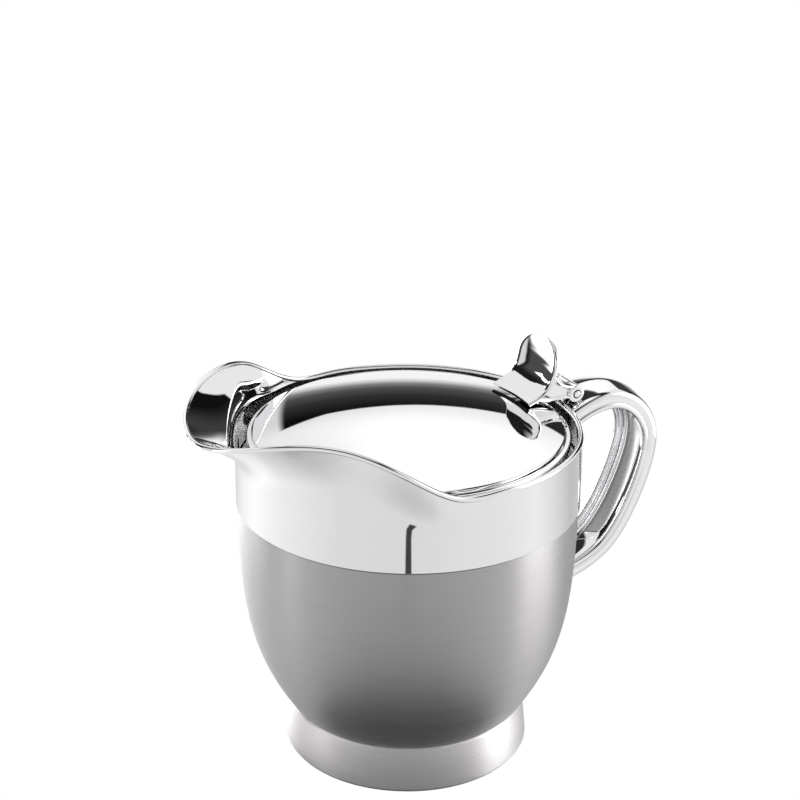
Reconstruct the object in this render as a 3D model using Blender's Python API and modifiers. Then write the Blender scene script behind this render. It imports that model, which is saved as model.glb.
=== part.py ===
"""Lidded cream jug: a bowl-shaped double-walled body on a foot ring, a polished
collar drawn out into a pouring spout, a channel-section handle and a hinged lid
that opens with a thumb lever.

The spout points to -X and the handle to +X. XZ is the plane of symmetry. The
table is at z = 0, and the origin is under the middle of the whole length.
Lengths below are in millimetres and are turned into metres by MM.
"""
import math

import bmesh
import bpy
from mathutils import Vector

MM = 0.001

# ---- driving dimensions, millimetres ----
COLLAR_RADIUS = 44.0      # outside of the collar's cylindrical stretch
SEAM_HEIGHT = 68.6        # lower edge of the collar
RIM_HEIGHT = 87.1         # middle of the rolled rim behind the spout
SPOUT_REACH = 59.6        # from the jug's axis to the outside of the spout's tip
HANDLE_REACH = 75.5       # from the jug's axis to the back of the handle
SHEET = 0.9               # wall of the collar
SHELL = 0.8               # wall of the other drawn pieces
GAP = 0.3                 # clearance between neighbouring pieces
RIM_BEAD = 0.75           # radius of the rolled rim
RIM_PROUD = 0.2           # how far the rolled rim stands out of the wall

FOOT_TOP = 12.2
FOOT_TOP_RADIUS = 30.9
FOOT_BOTTOM_RADIUS = 32.0
BODY_BOTTOM = FOOT_TOP + GAP
BODY_SEAM_RADIUS = 43.6

VESSEL_RADIUS = 40.0
VESSEL_TOP = 79.5
VESSEL_BOTTOM = 17.0

LID_RADIUS = 41.2
LID_EDGE_TOP = 86.7
DOME_RADIUS = 39.3
DOME_EDGE = 87.8
DOME_RISE = 5.0

HINGE_REACH = 47.2        # hinge axis from the jug's axis
HINGE_HEIGHT = 89.6
KNUCKLE_RADIUS = 2.3
HINGE_HALF_WIDTH = 6.0
KNUCKLE_HALF_WIDTH = 2.0  # the fixed middle knuckle
PIN_RADIUS = 0.9

PLATE_HALF_WIDTH = 8.8    # thumb plate
PLATE_TOP = 105.5
PLATE_THICKNESS = 1.0

HANDLE_TOP = 88.3         # outer edges of the handle at its highest
HANDLE_HALF_WIDTH = 7.3
HANDLE_CROWN = 1.3
HANDLE_FLANGE = 4.2
HANDLE_WALL = 1.2

STUD_REACH = 36.0         # studs that hold the lever to the lid
STUD_OFFSET = 3.2
STUD_RADIUS = 1.1
STUD_HEAD_RADIUS = 2.0

# The bounding box's middle is the origin, so the jug's axis stands off it.
AXIS_X = (SPOUT_REACH + RIM_PROUD - HANDLE_REACH) / 2

# Rim of the spout, every 15 degrees away from the spout's own direction:
# how far the outside of the lip stands from the axis, and its height.
RIM_STEP = 15.0
RIM_REACH = [SPOUT_REACH, 57.0, 51.2, 47.4, 47.2, 45.0, COLLAR_RADIUS]
RIM_LEVEL = [95.8, 98.1, 100.7, 99.5, 94.6, 87.8, RIM_HEIGHT]

TURNS = 48
COLLAR_SECTIONS = 72


# ---- scene ----
for old in list(bpy.data.objects):
    bpy.data.objects.remove(old, do_unlink=True)

jug = bpy.data.collections.new("cream_jug")
tools = bpy.data.collections.new("cutters")
bpy.context.scene.collection.children.link(jug)
bpy.context.scene.collection.children.link(tools)


def finish(name, color, roughness):
    """A metal finish with its own colour and roughness."""
    material = bpy.data.materials.new(name)
    material.use_nodes = True
    shader = material.node_tree.nodes["Principled BSDF"]
    shader.inputs["Base Color"].default_value = (*color, 1.0)
    shader.inputs["Metallic"].default_value = 1.0
    shader.inputs["Roughness"].default_value = roughness
    return material


def polished(name):
    return finish(name, (0.78, 0.78, 0.79), 0.08)


def satin(name):
    return finish(name, (0.62, 0.61, 0.61), 0.38)


def metres(points):
    return [Vector((x * MM, 0.0, z * MM)) for x, z in points]


def add_object(name, mesh, material, location=(AXIS_X, 0, 0), collection=jug):
    """Put a mesh in the scene, shaded smooth up to its sharp edges."""
    for polygon in mesh.polygons:
        polygon.use_smooth = True
    mesh.set_sharp_from_angle(angle=math.radians(35))
    obj = bpy.data.objects.new(name, mesh)
    obj.location = [value * MM for value in location]
    if material:
        mesh.materials.append(material)
    collection.objects.link(obj)
    if collection is tools:
        obj.hide_render = True
        obj.display_type = "WIRE"
    return obj


def bezier(start, start_handle, end_handle, end, count):
    """Points along one cubic stretch, both ends included."""
    points = []
    for step in range(count):
        t = step / (count - 1)
        s = 1 - t
        points.append(tuple(
            s ** 3 * a + 3 * s * s * t * b + 3 * s * t * t * c + t ** 3 * d
            for a, b, c, d in zip(start, start_handle, end_handle, end)))
    return points


def arc(center, radius, start, end, count):
    """Points on an arc in the XZ plane, angles in degrees from +X."""
    points = []
    for step in range(count):
        angle = math.radians(start + (end - start) * step / (count - 1))
        points.append((center[0] + radius * math.cos(angle),
                       center[1] + radius * math.sin(angle)))
    return points


def turned(name, profile, material, closed=False, wall=None, collection=jug, turns=TURNS,
           location=(AXIS_X, 0, 0)):
    """Turn a profile, listed down its outer side, about an upright axis."""
    bm = bmesh.new()
    verts = [bm.verts.new(point) for point in metres(profile)]
    pairs = list(zip(verts, verts[1:]))
    if closed:
        pairs.append((verts[-1], verts[0]))
    for first, second in pairs:
        bm.edges.new((first, second))
    mesh = bpy.data.meshes.new(name)
    bm.to_mesh(mesh)
    bm.free()
    obj = add_object(name, mesh, material, location, collection)
    screw = obj.modifiers.new("turn", "SCREW")
    screw.steps = turns
    screw.render_steps = turns
    screw.use_merge_vertices = True
    screw.merge_threshold = 0.00001
    screw.use_smooth_shade = True
    if wall:
        solid = obj.modifiers.new("wall", "SOLIDIFY")
        solid.thickness = wall * MM
        solid.offset = -1.0
        solid.use_even_offset = True
    return obj


def cylinder(name, radius, half_length, location, material=None, collection=tools, across=True):
    """A round bar across the jug, or upright where across is false."""
    bm = bmesh.new()
    bmesh.ops.create_cone(bm, cap_ends=True, segments=32, radius1=radius * MM,
                          radius2=radius * MM, depth=2 * half_length * MM)
    if across:
        bmesh.ops.rotate(bm, verts=bm.verts, cent=(0, 0, 0),
                         matrix=Vector((0, 0, 1)).rotation_difference(Vector((0, 1, 0))).to_matrix())
    mesh = bpy.data.meshes.new(name)
    bm.to_mesh(mesh)
    bm.free()
    return add_object(name, mesh, material, location, collection)


def block(name, low, high, material=None, collection=tools):
    """A box between two corners, in the jug's own coordinates."""
    bm = bmesh.new()
    bmesh.ops.create_cube(bm, size=1.0)
    size = [(b - a) * MM for a, b in zip(low, high)]
    middle = [(a + b) / 2 * MM for a, b in zip(low, high)]
    bmesh.ops.scale(bm, vec=size, verts=bm.verts)
    bmesh.ops.translate(bm, vec=middle, verts=bm.verts)
    mesh = bpy.data.meshes.new(name)
    bm.to_mesh(mesh)
    bm.free()
    return add_object(name, mesh, material, collection=collection)


def side_plate(name, outline, half_width, material=None, collection=tools):
    """An outline in the XZ plane, given thickness to both sides of it."""
    curve = bpy.data.curves.new(name + "_outline", "CURVE")
    curve.dimensions = "2D"
    curve.fill_mode = "BOTH"
    curve.extrude = half_width * MM
    spline = curve.splines.new("POLY")
    spline.points.add(len(outline) - 1)
    for point, (x, z) in zip(spline.points, outline):
        point.co = (x * MM, z * MM, 0.0, 1.0)
    spline.use_cyclic_u = True
    drawn = bpy.data.objects.new(name + "_outline", curve)
    tools.objects.link(drawn)
    drawn.rotation_euler = (math.radians(90), 0, 0)
    drawn.location = (AXIS_X * MM, 0, 0)
    return mesh_from_curve(drawn, name, material, collection)


def mesh_from_curve(drawn, name, material, collection):
    """Turn a curve object into a mesh object with its caps welded."""
    bpy.context.view_layer.update()
    evaluated = drawn.evaluated_get(bpy.context.evaluated_depsgraph_get())
    mesh = bpy.data.meshes.new_from_object(evaluated)
    mesh.name = name
    bm = bmesh.new()
    bm.from_mesh(mesh)
    bmesh.ops.remove_doubles(bm, verts=bm.verts, dist=0.000005)
    bmesh.ops.recalc_face_normals(bm, faces=bm.faces)
    bm.to_mesh(mesh)
    bm.free()
    obj = add_object(name, mesh, material, collection=collection)
    obj.matrix_world = drawn.matrix_world.copy()
    bpy.data.objects.remove(drawn, do_unlink=True)
    return obj


def combine(obj, other, operation):
    """Cut another shape out of an object, or join the shape to it."""
    modifier = obj.modifiers.new(operation.lower() + "_" + other.name, "BOOLEAN")
    modifier.operation = operation
    modifier.object = other
    modifier.solver = "EXACT"


def body_outline(offset=0.0, count=9):
    """The bowl's outer profile from the seam down to the foot."""
    return bezier((BODY_SEAM_RADIUS + offset, SEAM_HEIGHT - GAP),
                  (BODY_SEAM_RADIUS + offset, 38.3),
                  (40.85 + offset, 27.6),
                  (31.1 + offset, BODY_BOTTOM + 0.3), count)


# ---- foot ----
def make_foot():
    ring = [(29.6, FOOT_TOP), (30.5, FOOT_TOP), (FOOT_TOP_RADIUS, FOOT_TOP - 0.4),
            (FOOT_BOTTOM_RADIUS, 0.7), (31.4, 0.0), (28.4, 0.0), (28.1, 0.5),
            (28.4, 1.2), (30.4, 1.3), (30.6, 1.9)]
    turned("foot_ring", ring, satin("foot_ring_satin"), closed=True)
    plate = [(0.0, 4.2), (29.4, 4.2), (29.8, 3.9), (29.8, 3.2), (29.3, 3.0), (0.0, 3.0)]
    turned("base_plate", plate, satin("base_plate_satin"))


# ---- body ----
def make_body():
    lap = 42.7
    profile = [(lap, 72.0), (lap, SEAM_HEIGHT - GAP)]
    profile += body_outline(count=10)
    profile += [(30.6, BODY_BOTTOM), (0.0, BODY_BOTTOM)]
    turned("outer_body", profile, satin("outer_body_satin"), wall=SHELL)

    flange = COLLAR_RADIUS - SHEET - GAP
    under_flange = VESSEL_TOP - SHELL
    inside = [(flange, under_flange), (VESSEL_RADIUS + 0.6, under_flange),
              (VESSEL_RADIUS, under_flange - 0.6)]
    inside += bezier((VESSEL_RADIUS, 66.0), (VESSEL_RADIUS, 40.0),
                     (37.0, 30.0), (28.5, VESSEL_BOTTOM + 0.8), 8)
    inside += [(27.0, VESSEL_BOTTOM), (0.0, VESSEL_BOTTOM)]
    turned("inner_vessel", inside, satin("inner_vessel_satin"), wall=SHELL)


# ---- collar and spout ----
def along_rim(values, angle):
    """A rim value at an angle in degrees from the spout's direction."""
    place = min(abs(angle) / RIM_STEP, len(values) - 1 - 1e-9)
    index = int(place)
    t = place - index
    before = values[max(index - 1, 0)] if index else values[1]
    after = values[min(index + 2, len(values) - 1)]
    start, end = values[index], values[index + 1]
    start_slope = (end - before) / 2
    end_slope = (after - start) / 2
    return ((2 * t ** 3 - 3 * t ** 2 + 1) * start + (t ** 3 - 2 * t ** 2 + t) * start_slope
            + (3 * t ** 2 - 2 * t ** 3) * end + (t ** 3 - t ** 2) * end_slope)


def collar_section(angle):
    """The collar's closed section at an angle from the spout's direction."""
    reach = along_rim(RIM_REACH, angle) + RIM_PROUD - RIM_BEAD
    level = along_rim(RIM_LEVEL, angle)
    wall = COLLAR_RADIUS - SHEET / 2
    height = level - SEAM_HEIGHT
    bend = SEAM_HEIGHT + 0.45 * height
    flare = max(0.0, (reach - wall) / (SPOUT_REACH - COLLAR_RADIUS))
    slope = math.radians(90 - 68 * min(1.0, flare))
    length = math.hypot(reach - wall, level - bend)
    start = (wall, bend)
    end = (reach, level)
    middle = [(wall, SEAM_HEIGHT)]
    middle += bezier(start, (wall, bend + 0.3 * length),
                     (reach - 0.33 * length * math.cos(slope),
                      level - 0.33 * length * math.sin(slope)), end, 6)
    outer = []
    inner = []
    for index, point in enumerate(middle[:-1]):
        before = middle[max(index - 1, 0)]
        after = middle[index + 1]
        run = math.hypot(after[0] - before[0], after[1] - before[1])
        side = ((after[1] - before[1]) / run * SHEET / 2, -(after[0] - before[0]) / run * SHEET / 2)
        outer.append((point[0] + side[0], point[1] + side[1]))
        inner.append((point[0] - side[0], point[1] - side[1]))
    lean = math.degrees(slope)
    bead = arc(end, RIM_BEAD, lean - 150, lean + 150, 8)
    return outer + bead + inner[::-1]


def make_collar():
    bm = bmesh.new()
    rings = []
    for step in range(COLLAR_SECTIONS):
        angle = 360 * step / COLLAR_SECTIONS
        from_spout = (angle + 180) % 360 - 180
        direction = math.radians(180 + angle)
        rings.append([bm.verts.new((r * MM * math.cos(direction), r * MM * math.sin(direction), z * MM))
                      for r, z in collar_section(from_spout)])
    for ring, following in zip(rings, rings[1:] + rings[:1]):
        for index in range(len(ring)):
            nearby = (index + 1) % len(ring)
            bm.faces.new((ring[index], ring[nearby], following[nearby], following[index]))
    bmesh.ops.recalc_face_normals(bm, faces=bm.faces)
    mesh = bpy.data.meshes.new("collar")
    bm.to_mesh(mesh)
    bm.free()
    add_object("collar", mesh, polished("collar_polished"))


# ---- handle ----
def jug_envelope():
    """The body and collar with the clearance added, for trimming what meets them."""
    radius = COLLAR_RADIUS + GAP
    profile = [(0.0, RIM_HEIGHT + 3.0), (radius, RIM_HEIGHT + 3.0), (radius, SEAM_HEIGHT)]
    profile += body_outline(GAP, 12) + [(0.0, BODY_BOTTOM)]
    return turned("jug_envelope", profile, None, collection=tools)


def handle_section():
    """The channel across the handle: x is across, y is outwards."""
    edge = HANDLE_HALF_WIDTH
    bead = 0.85
    crown = [(edge * u, HANDLE_CROWN * (1 - u * u)) for u in (-0.84, -0.45, 0.0, 0.45, 0.84)]
    under = [(x * 0.86, y - HANDLE_WALL) for x, y in crown]
    right = [(edge, -0.9), (edge, bead - HANDLE_FLANGE)]
    right += arc((edge - bead, bead - HANDLE_FLANGE), bead, 0, -180, 5)[1:]
    right += [(edge - HANDLE_WALL, -1.9)]
    left = [(-x, y) for x, y in right]
    return crown + right + under[::-1] + left[::-1]


def make_handle(envelope):
    section = bpy.data.curves.new("handle_section", "CURVE")
    section.dimensions = "2D"
    outline = section.splines.new("POLY")
    points = handle_section()
    outline.points.add(len(points) - 1)
    for point, (x, y) in zip(outline.points, points):
        point.co = (x * MM, y * MM, 0.0, 1.0)
    outline.use_cyclic_u = True
    section_object = bpy.data.objects.new("handle_section", section)
    tools.objects.link(section_object)

    path = bpy.data.curves.new("handle_path", "CURVE")
    path.dimensions = "3D"
    path.twist_mode = "MINIMUM"
    path.resolution_u = 6
    path.bevel_mode = "OBJECT"
    path.bevel_object = section_object
    path.use_fill_caps = True
    # Each knot: handle before, knot, handle after, along the handle's outer edges.
    back = HANDLE_REACH - HANDLE_CROWN
    knots = [((38.0, 80.3), (42.0, 82.7), (49.0, 86.9)),
             ((53.5, HANDLE_TOP), (58.8, HANDLE_TOP), (66.6, HANDLE_TOP)),
             ((back, 79.8), (back, 72.0), (back, 63.3)),
             ((65.8, 47.7), (61.3, 43.2), (56.0, 37.9)),
             ((48.5, 36.5), (41.0, 34.8), (36.0, 33.6))]
    spline = path.splines.new("BEZIER")
    spline.bezier_points.add(len(knots) - 1)
    for point, (before, knot, after) in zip(spline.bezier_points, knots):
        point.handle_left_type = "FREE"
        point.handle_right_type = "FREE"
        point.handle_left, point.co, point.handle_right = metres((before, knot, after))
    drawn = bpy.data.objects.new("handle_path", path)
    tools.objects.link(drawn)
    drawn.location = (AXIS_X * MM, 0, 0)
    handle = mesh_from_curve(drawn, "handle", polished("handle_polished"), jug)
    bpy.data.objects.remove(section_object, do_unlink=True)
    combine(handle, envelope, "DIFFERENCE")
    slot_half = KNUCKLE_HALF_WIDTH + GAP
    slot = block("handle_slot", (40.0, -slot_half, 70.0), (50.0, slot_half, 92.0))
    combine(handle, slot, "DIFFERENCE")

    pad = block("handle_lower_pad", (38.0, -5.6, 37.6), (44.5, 5.6, 40.6),
                polished("lower_pad_polished"), jug)
    combine(pad, envelope, "DIFFERENCE")


# ---- hinge ----
def hinge_point(offset=0.0):
    return (AXIS_X + HINGE_REACH, offset, HINGE_HEIGHT)


def make_hinge(envelope):
    stem = [(43.0, 77.6), (46.0, 77.6), (46.0, 81.4), (49.6, 84.0), (49.6, 89.0),
            (47.2, 90.6), (45.2, 89.0), (44.9, 85.4), (43.0, 83.0)]
    bracket = side_plate("hinge_bracket", stem, KNUCKLE_HALF_WIDTH,
                         polished("hinge_bracket_polished"), jug)
    knuckle = cylinder("bracket_knuckle", KNUCKLE_RADIUS, KNUCKLE_HALF_WIDTH - 0.001, hinge_point())
    combine(bracket, knuckle, "UNION")
    foot = block("bracket_foot", (42.0, -5.6, 77.5), (45.6, 5.6, 81.2))
    combine(bracket, foot, "UNION")
    combine(bracket, envelope, "DIFFERENCE")
    bore = cylinder("bracket_bore", PIN_RADIUS + GAP, HINGE_HALF_WIDTH + 2, hinge_point())
    combine(bracket, bore, "DIFFERENCE")

    cylinder("hinge_pin", PIN_RADIUS, HINGE_HALF_WIDTH + 0.3, hinge_point(),
             polished("hinge_pin_polished"), jug)


# ---- lid ----
def dome_height(radius):
    return DOME_EDGE + DOME_RISE * (1 - (radius / DOME_RADIUS) ** 2)


def make_lid():
    dome = [(DOME_RADIUS * u, dome_height(DOME_RADIUS * u))
            for u in (1.0, 0.84, 0.66, 0.46, 0.24, 0.0)]
    edge = [(LID_RADIUS - 0.1, LID_EDGE_TOP - 1.3), (LID_RADIUS, LID_EDGE_TOP - 0.6),
            (LID_RADIUS - 0.4, LID_EDGE_TOP), (DOME_RADIUS + 0.4, LID_EDGE_TOP + 0.1),
            (DOME_RADIUS + 0.2, DOME_EDGE - 0.3)]
    # Listed from the axis outwards and down, which is down the outer side.
    lid = turned("lid_dome", dome[::-1] + edge[::-1], polished("lid_dome_polished"), wall=SHELL)
    sheet_top = dome_height(STUD_REACH)
    head_top = sheet_top - SHELL - GAP - 0.4
    stud = [(0.0, sheet_top + 0.1), (STUD_RADIUS, sheet_top + 0.1), (STUD_RADIUS, head_top),
            (STUD_HEAD_RADIUS, head_top), (STUD_HEAD_RADIUS, head_top - 0.9), (0.0, head_top - 0.9)]
    for side, offset in (("left", -STUD_OFFSET), ("right", STUD_OFFSET)):
        place = (AXIS_X + STUD_REACH, offset, 0)
        turned("lever_stud_" + side, stud, polished("stud_polished_" + side), turns=20, location=place)
        hole = cylinder("stud_hole_" + side, STUD_RADIUS + GAP, 4.0,
                        (AXIS_X + STUD_REACH, offset, sheet_top), across=False)
        combine(lid, hole, "DIFFERENCE")

    skirt = LID_RADIUS - SHELL - GAP - 0.2
    seat = VESSEL_TOP + GAP
    pan = [(skirt, LID_EDGE_TOP - SHELL - 2 * GAP), (skirt, seat + 0.8), (skirt - 0.8, seat), (0.0, seat)]
    turned("lid_pan", pan, satin("lid_pan_satin"), wall=SHELL)


# ---- thumb lever ----
def make_lever():
    front = [(30.4, 91.0), (33.3, 92.1), (35.8, 93.8), (37.3, 96.2), (38.0, 99.0),
             (38.4, 101.2), (38.7, 103.1), (38.9, 104.6), (39.0, PLATE_TOP)]
    round_from = 99.0
    across = 8
    dish_depth = 0.7
    bm = bmesh.new()
    bmesh.ops.create_grid(bm, x_segments=across, y_segments=len(front) - 1, size=1.0)
    for vert in bm.verts:
        row = round((vert.co.y + 1) / 2 * (len(front) - 1))
        side = vert.co.x
        x, z = front[row]
        half = PLATE_HALF_WIDTH
        if z > round_from:
            climb = min(1.0, (z - round_from) / (PLATE_TOP - round_from))
            half *= max(0.16, math.sqrt(1 - climb * climb))
        dish = dish_depth * (1 - (side * half / PLATE_HALF_WIDTH) ** 2)
        vert.co = Vector(((x + dish) * MM, side * half * MM, z * MM))
    bmesh.ops.recalc_face_normals(bm, faces=bm.faces)
    mesh = bpy.data.meshes.new("thumb_plate")
    bm.to_mesh(mesh)
    bm.free()
    plate = add_object("thumb_plate", mesh, None, collection=tools)
    solid = plate.modifiers.new("thickness", "SOLIDIFY")
    solid.thickness = PLATE_THICKNESS * MM
    solid.offset = 1.0 if mesh.polygons[0].normal.x > 0 else -1.0

    arm = [(33.0, 90.5), (36.0, 89.25), (39.0, 88.6), (45.6, 88.6), (HINGE_REACH, 88.0),
           (HINGE_REACH, 91.7), (44.8, 92.2), (42.6, 93.4), (41.0, 95.0), (39.9, 97.4),
           (38.6, 98.6), (38.2, 97.0), (36.5, 93.9), (34.0, 91.9)]
    lever = side_plate("thumb_lever", arm, 5.8, polished("thumb_lever_polished"), jug)
    combine(lever, plate, "UNION")
    barrel = cylinder("lever_barrel", KNUCKLE_RADIUS, HINGE_HALF_WIDTH, hinge_point())
    combine(lever, barrel, "UNION")
    sweep = cylinder("knuckle_sweep", KNUCKLE_RADIUS + 0.4, KNUCKLE_HALF_WIDTH + GAP, hinge_point())
    combine(lever, sweep, "DIFFERENCE")
    bore = cylinder("lever_bore", PIN_RADIUS + GAP, HINGE_HALF_WIDTH + 2, hinge_point())
    combine(lever, bore, "DIFFERENCE")


def hang_lid():
    """Parent everything that swings with the lid to an empty on the hinge's axis."""
    pivot = bpy.data.objects.new("lid_hinge", None)
    pivot.location = [value * MM for value in hinge_point()]
    jug.objects.link(pivot)
    for name in ("lid_dome", "lid_pan", "thumb_lever", "lever_stud_left", "lever_stud_right"):
        piece = bpy.data.objects[name]
        piece.parent = pivot
        piece.location -= pivot.location


make_foot()
make_body()
make_collar()
trim = jug_envelope()
make_handle(trim)
make_hinge(trim)
make_lid()
make_lever()
hang_lid()
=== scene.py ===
"""The looks of a lidded steel cream jug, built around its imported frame.

Lengths are in metres and are written in millimetres through MM. The spout points to
-X, the handle to +X, and the jug's own axis stands at the middle of the lid.
"""

import math

import bmesh
import bpy
import numpy as np
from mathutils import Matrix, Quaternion, Vector


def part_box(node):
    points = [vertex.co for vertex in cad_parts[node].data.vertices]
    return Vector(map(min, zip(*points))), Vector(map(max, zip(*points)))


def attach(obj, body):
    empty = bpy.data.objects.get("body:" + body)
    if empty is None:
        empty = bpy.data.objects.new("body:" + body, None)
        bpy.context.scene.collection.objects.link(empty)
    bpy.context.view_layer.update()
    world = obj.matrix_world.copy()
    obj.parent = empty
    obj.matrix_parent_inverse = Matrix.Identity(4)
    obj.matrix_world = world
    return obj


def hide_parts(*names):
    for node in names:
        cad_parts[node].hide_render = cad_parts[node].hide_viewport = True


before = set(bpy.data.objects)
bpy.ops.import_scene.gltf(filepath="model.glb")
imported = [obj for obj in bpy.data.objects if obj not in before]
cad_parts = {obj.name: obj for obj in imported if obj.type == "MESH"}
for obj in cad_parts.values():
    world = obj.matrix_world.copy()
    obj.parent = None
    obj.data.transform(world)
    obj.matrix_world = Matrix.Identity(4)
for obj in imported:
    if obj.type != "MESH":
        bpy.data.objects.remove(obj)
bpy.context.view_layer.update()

bl_info = {
    "name": "Lidded cream jug",
    "version": (1, 0, 0),
    "blender": (4, 5, 0),
    "location": "View3D > Sidebar > Cream jug",
    "description": "Builds a lidded steel cream jug and a small studio for it",
    "category": "Add Mesh",
}

MM = 0.001
LID_LOW, LID_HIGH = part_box("lid_dome")
AXIS_X = (LID_LOW.x + LID_HIGH.x) / 2
AXIS = Vector((AXIS_X, 0.0, 0.0))
LEVER_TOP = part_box("thumb_lever")[1].z
PIN_LOW, PIN_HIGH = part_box("hinge_pin")
HINGE = Vector(((PIN_LOW.x + PIN_HIGH.x) / 2, 0.0, (PIN_LOW.z + PIN_HIGH.z) / 2))

# Rim of the spout, every 15 degrees away from the spout's own direction.
RIM_STEP = 15.0
RIM_REACH = (59.6, 57.0, 51.2, 47.4, 47.2, 45.0, 44.0)
RIM_LEVEL = (95.8, 98.1, 100.7, 99.5, 94.6, 87.8, 87.1)
RIM_PROUD = 0.2

TURN_STEPS = 192
DEGREES = 180 / math.pi
SAME_POINT = 0.002 * MM
NO_EDGE = 0.0005 * MM

# Half the width of the slot between the knuckles, in millimetres.
SLOT_HALF = 2.3


# ---- sizes ----
def length(name, millimetres, description):
    return bpy.props.FloatProperty(name=name, description=description, unit="LENGTH",
                                   default=millimetres * MM, min=0.0, precision=5)


def share(name, value, description):
    return bpy.props.FloatProperty(name=name, description=description, subtype="FACTOR",
                                   default=value, min=0.0, max=1.0)


def tint(name, color, description):
    return bpy.props.FloatVectorProperty(name=name, description=description, subtype="COLOR",
                                         size=3, default=color, min=0.0, max=1.0)


class JugSizes(bpy.types.PropertyGroup):
    """Walls and edges of the jug's pieces."""
    collar_radius: length("Collar radius", 44.0, "Outside of the collar")
    seam: length("Seam height", 68.6, "Lower edge of the polished collar")
    sheet: length("Collar wall", 0.9, "Wall of the collar")
    rim_bead: length("Rim bead", 0.75, "Radius of the rolled rim")
    gap: length("Gap", 0.3, "Clearance between neighbouring pieces")
    shell: length("Shell wall", 0.8, "Wall of the drawn pieces")
    dome_rise: length("Dome rise", 5.0, "How far the lid rises in the middle")
    dome_radius: length("Dome radius", 39.3, "Radius of the lid's smooth dome")
    lid_radius: length("Lid radius", 41.2, "Outer edge of the lid")
    handle_half_width: length("Handle half width", 7.3, "Half the width of the strap")
    handle_crown: length("Handle crown", 1.8, "How far the strap's back bulges")
    handle_flange: length("Handle flange", 4.2, "Depth of the strap's folded sides")
    plate_half_width: length("Thumb plate half width", 8.8, "Half the width of the thumb plate")
    plate_thickness: length("Thumb plate thickness", 1.0, "Thickness of the thumb plate")
    plate_dish: length("Thumb plate dish", 0.7, "How far the thumb plate is hollowed")
    knuckle: length("Knuckle radius", 2.3, "Outside of the hinge's knuckles")


class JugFinish(bpy.types.PropertyGroup):
    """Colours and gloss of the steel."""
    mirror: tint("Mirror steel", (0.86, 0.86, 0.87), "Colour of the polished pieces")
    satin: tint("Satin steel", (0.45, 0.44, 0.44), "Colour of the brushed pieces")
    mirror_roughness: share("Mirror roughness", 0.03, "Blur of the polished pieces")
    satin_roughness: share("Satin roughness", 0.4, "Blur of the brushed pieces")
    brushing: share("Brushing", 0.55, "Strength of the brush marks")


class JugStage(bpy.types.PropertyGroup):
    """Camera and light."""
    distance: length("Camera distance", 502.9, "Camera to the point it looks at")
    aim_height: length("Aim height", 95.0, "Height of the point the camera looks at")
    azimuth: bpy.props.FloatProperty(name="Azimuth", subtype="ANGLE", unit="ROTATION",
                                     description="Camera's turn about the jug",
                                     default=math.radians(-30.1))
    pitch: bpy.props.FloatProperty(name="Pitch", subtype="ANGLE", unit="ROTATION",
                                   description="How far the camera looks down",
                                   default=math.radians(22.34))
    heading: bpy.props.FloatProperty(name="Heading", subtype="ANGLE", unit="ROTATION",
                                     description="Turn of the view off the jug's axis",
                                     default=math.radians(0.28))
    roll: bpy.props.FloatProperty(name="Roll", subtype="ANGLE", unit="ROTATION",
                                  description="Tilt of the camera about its own view",
                                  default=math.radians(0.5))
    lens: bpy.props.FloatProperty(name="Lens", description="Focal length in millimetres",
                                  default=90.0)


# ---- modelling helpers ----
def start_fresh():
    """Leave edit mode with nothing selected."""
    if bpy.context.object and bpy.context.object.mode != "OBJECT":
        bpy.ops.object.mode_set(mode="OBJECT")
    bpy.ops.object.select_all(action="DESELECT")


def arc(center, radius, start, end, count):
    """Points on an arc, angles in degrees from the first axis."""
    angles = [math.radians(start + (end - start) * i / (count - 1)) for i in range(count)]
    return [(center[0] + radius * math.cos(a), center[1] + radius * math.sin(a)) for a in angles]


def bezier(start, start_handle, end_handle, end, count):
    """Points along one cubic stretch, both ends included."""
    points = []
    for step in range(count):
        t = step / (count - 1)
        s = 1 - t
        points.append(tuple(s ** 3 * a + 3 * s * s * t * b + 3 * s * t * t * c + t ** 3 * d
                            for a, b, c, d in zip(start, start_handle, end_handle, end)))
    return points


def rounded(corners, steps=5):
    """An open outline of (r, z) corners, each with an optional fillet radius, made smooth."""
    points = []
    for index, corner in enumerate(corners):
        here = Vector(corner[:2])
        fillet = corner[2] if len(corner) > 2 else 0
        if not fillet or index in (0, len(corners) - 1):
            points.append(tuple(here))
            continue
        before = Vector(corners[index - 1][:2]) - here
        after = Vector(corners[index + 1][:2]) - here
        half = before.angle(after) / 2
        reach = min(fillet / math.tan(half), before.length * 0.49, after.length * 0.49)
        start = here + before.normalized() * reach
        end = here + after.normalized() * reach
        for step in range(steps + 1):
            t = step / steps
            weight = 2 * t * (1 - t) * math.sin(half)
            total = (1 - t) ** 2 + weight + t ** 2
            points.append(tuple(((1 - t) ** 2 * start + weight * here + t ** 2 * end) / total))
    return points


def tidy(obj, name, smooth_angle=35):
    """Merge doubled points, turn the faces outwards and shade smooth up to sharp edges."""
    bpy.ops.object.mode_set(mode="EDIT")
    bpy.ops.mesh.select_all(action="SELECT")
    bpy.ops.mesh.remove_doubles(threshold=SAME_POINT)
    bpy.ops.mesh.dissolve_degenerate(threshold=NO_EDGE)
    bpy.ops.mesh.select_all(action="SELECT")
    bpy.ops.mesh.normals_make_consistent(inside=False)
    bpy.ops.object.mode_set(mode="OBJECT")
    bpy.ops.object.shade_smooth_by_angle(angle=math.radians(smooth_angle))
    obj.name = name
    obj.data.name = name
    return obj


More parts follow.
